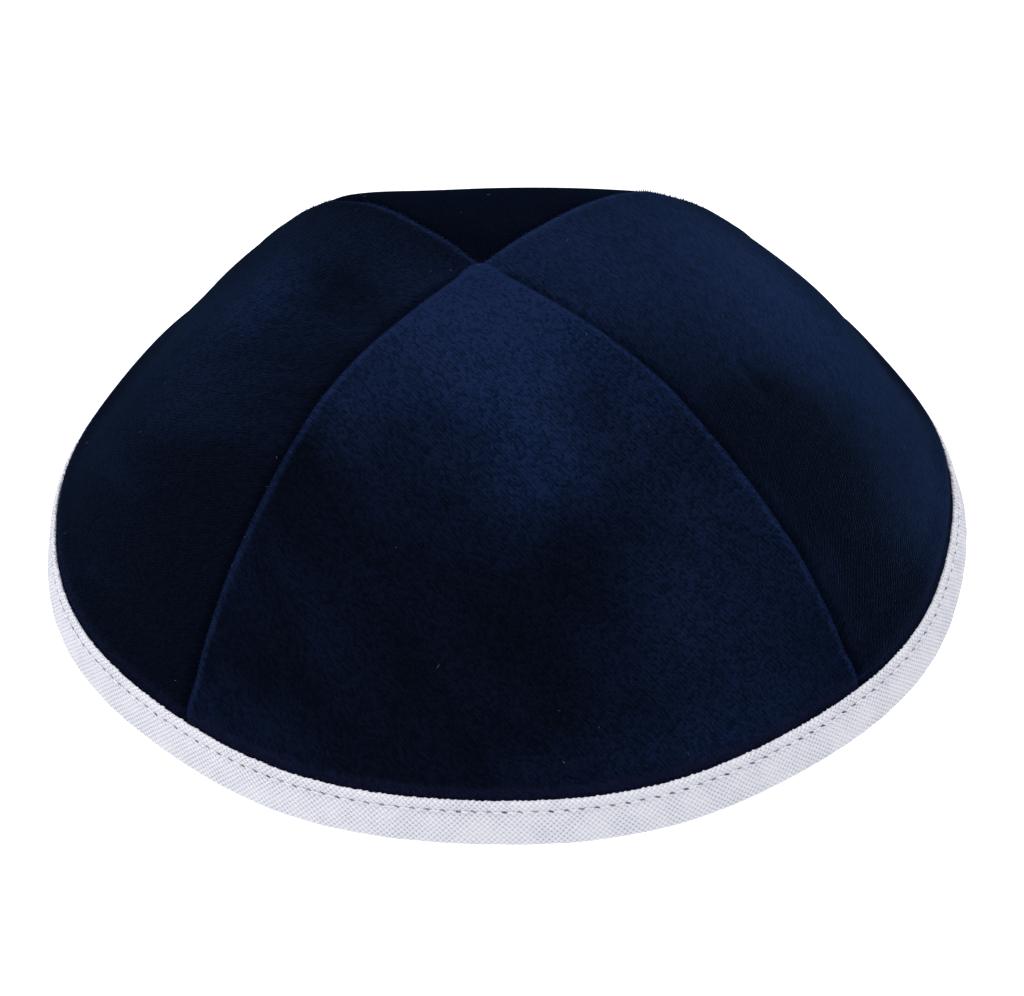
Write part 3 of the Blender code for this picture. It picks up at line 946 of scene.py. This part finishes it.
def tapeSection():
    # the folded tape cut across, as (reach, height): up the outside, into the slot, down the inside;
    # each arc's or leg's last value is the number of steps in it
    halfWall = cap["tapeWall"] / 2
    legMiddle = cap["clearance"] + halfWall
    topHeight = tape["top"] - halfWall
    lean, fold = cap["tapeSlope"], cap["foldRadius"]

    def arc(middle, startTurn, endTurn, radius, steps):
        turns = [math.radians(startTurn + (endTurn - startTurn) * step / steps) for step in range(steps + 1)]
        return [middle + Vector((math.cos(turn), math.sin(turn))) * radius for turn in turns]

    def leg(start, end, steps):
        return [start.lerp(end, step / steps) for step in range(1, steps)]

    outerFold = Vector((cap["rimDiameter"] / 2 - fold, fold))
    innerFold = wallPoint(-cap["velvetWall"] - cap["clearance"] - cap["tapeWall"] + fold, fold)
    outerTop = wallPoint(legMiddle, topHeight)
    innerTop = wallPoint(-cap["velvetWall"] - legMiddle, topHeight - cap["innerLegDrop"])
    outerSlot = wallPoint(cap["clearance"], footHeight()) - upTheWall * cap["clearance"]
    innerSlot = outerSlot - outOfWall * (cap["velvetWall"] + 2 * cap["clearance"])
    bottom = arc(outerFold, -90, lean, fold, 6)
    topEdge = arc(outerTop, lean, lean + 180, halfWall, 7)
    innerEdge = arc(innerTop, lean, lean + 180, halfWall, 5)
    inside = arc(innerFold, lean + 180, 270, fold, 6)
    section = bottom + leg(bottom[-1], topEdge[0], 19) + topEdge
    section += leg(topEdge[-1], outerSlot, 3) + [outerSlot, innerSlot]
    section += leg(innerSlot, innerEdge[0], 3) + innerEdge
    return section + leg(innerEdge[-1], inside[0], 9) + inside + leg(inside[-1], bottom[0], 2)


def stitchHeight():
    return tape["top"] - cap["tapeWall"] / 2 - tape["rowBelowTop"] * math.cos(tapeSlope)


def tapeMove(turn, up, rowAt, outside):
    # the row of stitches pulls the tape in, most at the needle holes, and the tape is a little uneven
    step = math.tau / tape["stitches"]
    fromHole = ((turn / step) % 1 - 0.5) * step * tapeReach
    pull = tape["rowPull"] + tape["holePull"] * bell(fromHole, tape["holeWidth"])
    pull *= bell(up - rowAt, tape["rowWidth"]) * outside
    unevenness = 0.0
    for depth, crosswise, upwards in tape["ripples"]:
        spot = Vector((math.cos(turn) * crosswise, math.sin(turn) * crosswise, up * upwards))
        unevenness += depth * noise.noise(spot)
    return levelWay(math.degrees(turn)) * (unevenness - pull)


def makeTape():
    bm = bmesh.new()
    up, reachOf = (bm.verts.layers.float.new(layer) for layer in ("up", "reach"))
    uv = bm.loops.layers.uv.new("cloth")
    verts = [bm.verts.new((reach, 0, height)) for reach, height in tapeSection()]
    climbed = 0.0
    for index, vert in enumerate(verts):
        if index:
            climbed += (vert.co - verts[index - 1].co).length
        vert[up] = climbed
        vert[reachOf] = vert.co.x
    girth = climbed + (verts[0].co - verts[-1].co).length
    row = wallPoint(cap["clearance"] + cap["tapeWall"], stitchHeight())
    rowAt = min(((vert.co.xz - row).length, vert[up]) for vert in verts)[1]

    # one coarse turn first, then every stretch is cut up finer and set back on its round
    edges = [bm.edges.new((verts[index], verts[(index + 1) % len(verts)])) for index in range(len(verts))]
    bmesh.ops.spin(bm, geom=verts + edges, cent=(0, 0, 0), axis=(0, 0, 1), dvec=(0, 0, 0),
                   angle=math.tau, steps=tape["turns"], use_merge=True, use_duplicate=False)
    around = [edge for edge in bm.edges if abs(edge.verts[0][up] - edge.verts[1][up]) < 1e-7]
    bmesh.ops.subdivide_edges(bm, edges=around, cuts=tape["cuts"], use_grid_fill=True)
    bmesh.ops.recalc_face_normals(bm, faces=bm.faces)
    for vert in bm.verts:
        turn = math.atan2(vert.co.y, vert.co.x)
        outside = vert[up] < girth * 0.45
        place = levelWay(math.degrees(turn)) * vert[reachOf] + tapeMove(turn, vert[up], rowAt, outside)
        vert.co = softened(middleAt(vert.co.z) + place)

    for face in bm.faces:
        centre = face.calc_center_median()
        facing = math.atan2(centre.y, centre.x - middleAt(centre.z).x)
        ups = [loop.vert[up] for loop in face.loops]
        closing = max(ups) - min(ups) > girth / 2      # between the section's last point and its first
        for loop in face.loops:
            point = loop.vert.co - middleAt(loop.vert.co.z)
            turn = math.atan2(point.y, point.x)
            turn = facing + (turn - facing + math.pi) % math.tau - math.pi
            high = loop.vert[up] + (girth if closing and loop.vert[up] < girth / 2 else 0)
            loop[uv].uv = (turn * tapeReach, high)
    piece = newPiece("rimTape", bm, (makeLinen(rowAt),))
    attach(piece, "root")
    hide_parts("rim_binding")
    return piece


rimTape = makeTape()
print("cap: bias tape folded round the rim")


def turnedTo(point, way, away):
    # a place whose x runs along way and whose z faces away
    across = away.cross(way).normalized()
    away = way.cross(across).normalized()
    return Matrix.Translation(point) @ Matrix((way, across, away)).transposed().to_4x4()


def gathered(shapes, draw):
    # a great many small shapes are drawn a handful at a time, which is much quicker
    whole = bmesh.new()
    for start in range(0, len(shapes), 100):
        handful = bmesh.new()
        for shape in shapes[start:start + 100]:
            draw(handful, *shape)
        mesh = bpy.data.meshes.new("handful")
        handful.to_mesh(mesh)
        handful.free()
        whole.from_mesh(mesh)
        bpy.data.meshes.remove(mesh)
    return whole


stitch = {
    "length": 1.85 * mm,
    "thickness": 0.34 * mm,
    "flatness": 1.2,
    "sunk": 0.02 * mm,
    "lean": (-5, 3),        # degrees along the rim
}


def drawStitch(bm, lay):
    lean = Matrix.Rotation(math.radians(dice.uniform(*stitch["lean"])), 4, "Z")
    half = stitch["thickness"] / 2
    size = Matrix.Diagonal((stitch["length"] / 2, half, half / stitch["flatness"], 1))
    place = lay @ lean @ size @ Matrix.Rotation(math.pi / 2, 4, "Y")
    bmesh.ops.create_uvsphere(bm, u_segments=8, v_segments=6, radius=1.0, matrix=place)


def layOnTape(azimuth, reach, height, turn):
    # a place on the tape whose x runs along the rim and whose z is tilted up by turn
    spot = softened(middleAt(height) + levelWay(azimuth) * reach)
    ahead = softened(middleAt(height) + levelWay(azimuth + 0.3) * reach)
    away = levelWay(azimuth) * math.cos(turn) + Vector((0, 0, math.sin(turn)))
    return turnedTo(spot, (ahead - spot).normalized(), away)


def makeStitches():
    height = stitchHeight()
    reach = wallPoint(cap["clearance"] + cap["tapeWall"] - stitch["sunk"], height).x
    lays = [(layOnTape(count * 360 / tape["stitches"], reach, height, tapeSlope),)
            for count in range(tape["stitches"])]
    piece = newPiece("rimStitches", gathered(lays, drawStitch), (whiteThread,))
    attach(piece, "root")
    return piece


whiteThread = makeThread("whiteThread", (0.80, 0.80, 0.85, 1), (0.62, 0.62, 0.70, 1))
rimStitches = makeStitches()

tuft = {
    "spacing": 0.17 * mm,
    "length": 0.60 * mm,
    "thickness": 0.13 * mm,
    "seamSet": (0.0, 0.55 * mm),      # how far back from a lapping edge its tufts stand
    "seamSunk": 0.06 * mm,
    "rimSunk": 0.08 * mm,
}


def drawTuft(bm, root, way, length, thickness):
    turn = way.to_track_quat("Z", "Y").to_matrix().to_4x4()
    place = Matrix.Translation(root + way * length / 2) @ turn
    bmesh.ops.create_cone(bm, cap_ends=True, segments=4, radius1=thickness / 2, radius2=thickness / 7,
                          depth=length, matrix=place)


def scattered(amount):
    return Vector((dice.uniform(-amount, amount) for _ in range(3)))


def makeSeamTufts():
    shapes = []
    for points, normals, ways in seamLines:
        for point, beyond, normal, out in zip(points, points[1:], normals, ways):
            climb = beyond - point
            fall = -climb.normalized() if climb.length else Vector()
            for _ in range(max(1, round(climb.length / tuft["spacing"]))):
                root = point + climb * dice.random() - out * dice.uniform(*tuft["seamSet"])
                root -= normal * tuft["seamSunk"]
                way = out * 0.8 + normal * dice.uniform(0.15, 0.9) + fall * 0.25 + scattered(0.3)
                length = tuft["length"] * dice.uniform(0.5, 1.1)
                shapes.append((root, way.normalized(), length, tuft["thickness"] * dice.uniform(0.8, 1.3)))
    piece = newPiece("seamTufts", gathered(shapes, drawTuft), (tuftLook,))
    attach(piece, "root")


def makeRimTufts():
    shapes = []
    for corner, beside, climb, normal in rimBand:
        along = beside - corner
        for _ in range(max(1, round(along.length / tuft["spacing"]))):
            root = corner + along * dice.random() + climb * dice.uniform(0.1, 1.0) - normal * tuft["rimSunk"]
            way = normal * 0.30 - climb.normalized() * 0.75 - along.normalized() * 0.45 + scattered(0.25)
            length = tuft["length"] * dice.uniform(1.2, 2.6)
            shapes.append((root, way.normalized(), length, tuft["thickness"] * dice.uniform(0.6, 1.0)))
    piece = newPiece("rimTufts", gathered(shapes, drawTuft), (tuftLook,))
    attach(piece, "root")


nub = {
    "shape": (1.5, 0.8, 0.7),
    "size": (0.24 * mm, 0.36 * mm),
    "sunk": 0.04 * mm,
    "stands": (75, 130),        # degrees round the tape's top edge, from level
    "skew": 40,
}


def drawNub(bm, lay, size):
    shape = Matrix.Diagonal((*nub["shape"], 1))
    bmesh.ops.create_icosphere(bm, subdivisions=1, radius=size, matrix=lay @ shape)


def makeNubs():
    # threads of the weave that stand up along the tape's outer top edge
    halfWall = cap["tapeWall"] / 2
    edge = wallPoint(cap["clearance"] + halfWall, tape["top"] - halfWall)
    skewed = Matrix.Rotation(math.radians(nub["skew"]), 4, "Z")
    lays = []
    for count in range(tape["weaveRepeats"]):
        azimuth = 360 * (count + dice.uniform(-0.2, 0.2)) / tape["weaveRepeats"]
        turn = math.radians(dice.uniform(*nub["stands"]))
        reach, height = edge + Vector((math.cos(turn), math.sin(turn))) * (halfWall - nub["sunk"])
        lays.append((layOnTape(azimuth, reach, height, turn) @ skewed, dice.uniform(*nub["size"])))
    piece = newPiece("edgeNubs", gathered(lays, drawNub), (whiteThread,))
    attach(piece, "root")
    return piece


lint = {
    "count": 54,
    "lowest": 12 * mm,
    "length": (0.15 * mm, 0.7 * mm),
    "thickness": 0.05 * mm,
    "above": 0.04 * mm,
    "colour": (0.10, 0.12, 0.20, 1),
    "dark": (0.04, 0.05, 0.10, 1),
}


def makeLint():
    # a few specks of fluff on the velvet
    fluff = makeThread("fluff", lint["colour"], lint["dark"])
    faces = [face for piece in velvetPieces.values()
             for face in piece.data.polygons if face.center.z > lint["lowest"]]
    shapes = []
    for _ in range(lint["count"]):
        face = dice.choice(faces)
        way = face.normal.cross(scattered(1.0)).normalized()
        length = dice.uniform(*lint["length"])
        root = face.center + face.normal * lint["above"]
        shapes.append((root, way, length, lint["thickness"] * dice.uniform(1, 2.4)))
    piece = newPiece("lint", gathered(shapes, drawTuft), (fluff,))
    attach(piece, "root")


makeSeamTufts()
makeRimTufts()
edgeNubs = makeNubs()
makeLint()
print("cap: stitches, loose pile and lint added")

# Studio: a pale floor, one broad light above, and softer ones at the front left and to each side.
studio = {
    "floorSize": 6.0,
    "floorTones": ((0.34, 0.34, 0.35, 1), (0.36, 0.36, 0.36, 1)),
    "glowTone": (0.99, 0.99, 1.0, 1),
    "world": (0.93, 0.95, 1.0, 1),
    "worldStrength": 0.50,
    "glow": 1.0,                 # the floor glows a little, as a light table does
    "lights": {
        "above": {"spot": (0.05, 0.15, 1.3), "aim": (0, 0, 0.03), "size": 1.1, "power": 13},
        "frontLeft": {"spot": (-0.6, -0.9, 0.9), "aim": (0, 0, 0.03), "size": 0.9, "power": 3.4},
        "left": {"spot": (-1.1, 0.0, 0.7), "aim": (0, 0, 0.03), "size": 0.9, "power": 2.5},
        "right": {"spot": (1.1, 0.1, 0.7), "aim": (0, 0, 0.03), "size": 0.9, "power": 0.4},
    },
}


def makeStudio():
    bm = bmesh.new()
    bmesh.ops.create_grid(bm, x_segments=2, y_segments=2, size=studio["floorSize"] / 2)
    material, tree, shader = newMaterial("paleFloor")
    place = nodeIn(tree, "ShaderNodeTexCoord").outputs["Object"]
    grain = noiseIn(tree, place, 30, dimensions="3D").outputs[0]
    dressed(tree, shader, {
        "Base Color": mixedColour(tree, grain, *studio["floorTones"]),
        "Emission Color": studio["glowTone"],
        "Emission Strength": studio["glow"],
        "Roughness": 0.9,
        "Specular IOR Level": 0.1,
    })
    mesh = bpy.data.meshes.new("floor")
    bm.to_mesh(mesh)
    bm.free()
    mesh.materials.append(material)
    floor = bpy.data.objects.new("floor", mesh)
    bpy.context.scene.collection.objects.link(floor)
    world = bpy.data.worlds.new("studio")
    bpy.context.scene.world = world
    world.use_nodes = True
    background = world.node_tree.nodes["Background"]
    background.inputs["Color"].default_value = studio["world"]
    background.inputs["Strength"].default_value = studio["worldStrength"]
    for name, lamp in studio["lights"].items():
        light = bpy.data.lights.new(name, "AREA")
        light.shape = "DISK"
        light.size = lamp["size"]
        light.energy = lamp["power"]
        holder = bpy.data.objects.new(name, light)
        bpy.context.scene.collection.objects.link(holder)
        holder.location = lamp["spot"]
        facing = Vector(lamp["aim"]) - Vector(lamp["spot"])
        holder.rotation_euler = facing.to_track_quat("-Z", "Y").to_euler()


camera = {
    "lens": 100.0,
    "elevation": 39.34,
    "roll": -1.116,
    "distance": 531.4 * mm,
    "aim": (1.13 * mm, 0, 4.13 * mm),
}


def makeCamera():
    rise, roll = math.radians(camera["elevation"]), math.radians(camera["roll"])
    back = Vector((0, -math.cos(rise), math.sin(rise)))
    right = Vector((1, 0, 0))
    up = right.cross(-back)
    turnedRight = right * math.cos(roll) + up * math.sin(roll)
    turnedUp = up * math.cos(roll) - right * math.sin(roll)
    data = bpy.data.cameras.new("camera")
    data.lens = camera["lens"]
    data.sensor_width = 36.0
    data.clip_start, data.clip_end = 0.01, 20.0
    holder = bpy.data.objects.new("camera", data)
    bpy.context.scene.collection.objects.link(holder)
    turn = Matrix((turnedRight, turnedUp, back)).transposed().to_4x4()
    holder.matrix_world = Matrix.Translation(Vector(camera["aim"]) + back * camera["distance"]) @ turn
    bpy.context.scene.camera = holder


makeStudio()
makeCamera()
bpy.context.scene.view_settings.view_transform = "Standard"
print("cap: studio and camera set")
